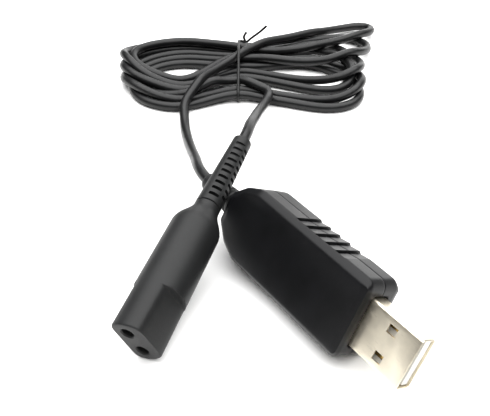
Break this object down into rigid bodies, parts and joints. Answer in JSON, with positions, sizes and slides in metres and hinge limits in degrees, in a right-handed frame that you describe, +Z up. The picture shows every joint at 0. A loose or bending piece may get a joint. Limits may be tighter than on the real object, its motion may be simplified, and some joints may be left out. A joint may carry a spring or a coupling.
{
  "type": "usb charging lead",
  "caption": "Thin black charging lead: a metal-shelled USB plug on a slab step-up converter, a hank of cord, and a round keyed two-pole socket connector.",
  "frame": {"origin": "bottom centre of the plug assembly (converter housing, USB plug and its strain relief), on the surface the lead lies on", "axes": "+X is the direction the USB plug is pushed in, +Z is up; the cord leaves towards -X"},
  "size_m": [0.1688, 0.1581, 0.022],
  "materials": {
    "housing_black": "satin moulded ABS",
    "connector_black": "matte moulded PVC",
    "cord_black": "semi-gloss PVC sheath",
    "nickel_plate": "nickel-plated sheet steel",
    "gold_plate": "gold-plated contact",
    "socket_brass": "turned brass tube",
    "insulator_white": "moulded nylon",
    "carrier_black": "moulded nylon",
    "board_green": "solder-masked board",
    "component_black": "moulded resin package",
    "ceramic": "fired ceramic",
    "ferrite": "sintered ferrite",
    "wire_red": "red insulation",
    "wire_black": "black insulation",
    "tie_black": "plastic-covered wire"
  },
  "bodies": {
    "cord": {"housing_strain_relief": "connector_black", "cord_housing_leg": "cord_black", "cord_hank": "cord_black", "twist_tie": "tie_black", "cord_connector_leg": "cord_black", "connector_boot": "connector_black"},
    "plug": {"upper_shell": "housing_black", "lower_shell": "housing_black", "usb_shell": "nickel_plate", "usb_tongue": "insulator_white", "usb_contact_1": "gold_plate", "usb_contact_2": "gold_plate", "usb_contact_3": "gold_plate", "usb_contact_4": "gold_plate", "converter_board": "board_green", "boost_chip": "component_black", "inductor": "ferrite", "rectifier_diode": "component_black", "input_capacitor": "ceramic", "output_capacitor": "ceramic", "supply_wire": "wire_red", "return_wire": "wire_black", "relief_anchor": "housing_black"},
    "connector": {"connector_barrel": "connector_black", "contact_carrier": "carrier_black", "socket_contact_1": "socket_brass", "socket_contact_2": "socket_brass", "connector_wire_1": "wire_black", "connector_wire_2": "wire_red"}
  },
  "joints": [
    {"name": "plug_swing", "type": "hinge", "parent": "cord", "child": "plug", "pos_m": [-0.02475, 0, 0.01053], "axis": [0, 0, 1], "range_deg": [0, 25], "stiffness_Nm_per_rad": 0.02},
    {"name": "connector_lift", "type": "hinge", "parent": "cord", "child": "connector", "pos_m": [-0.02462, -0.00778, 0.01495], "axis": [-0.8339, -0.5519, 0], "range_deg": [0, 35], "stiffness_Nm_per_rad": 0.02}
  ]
}
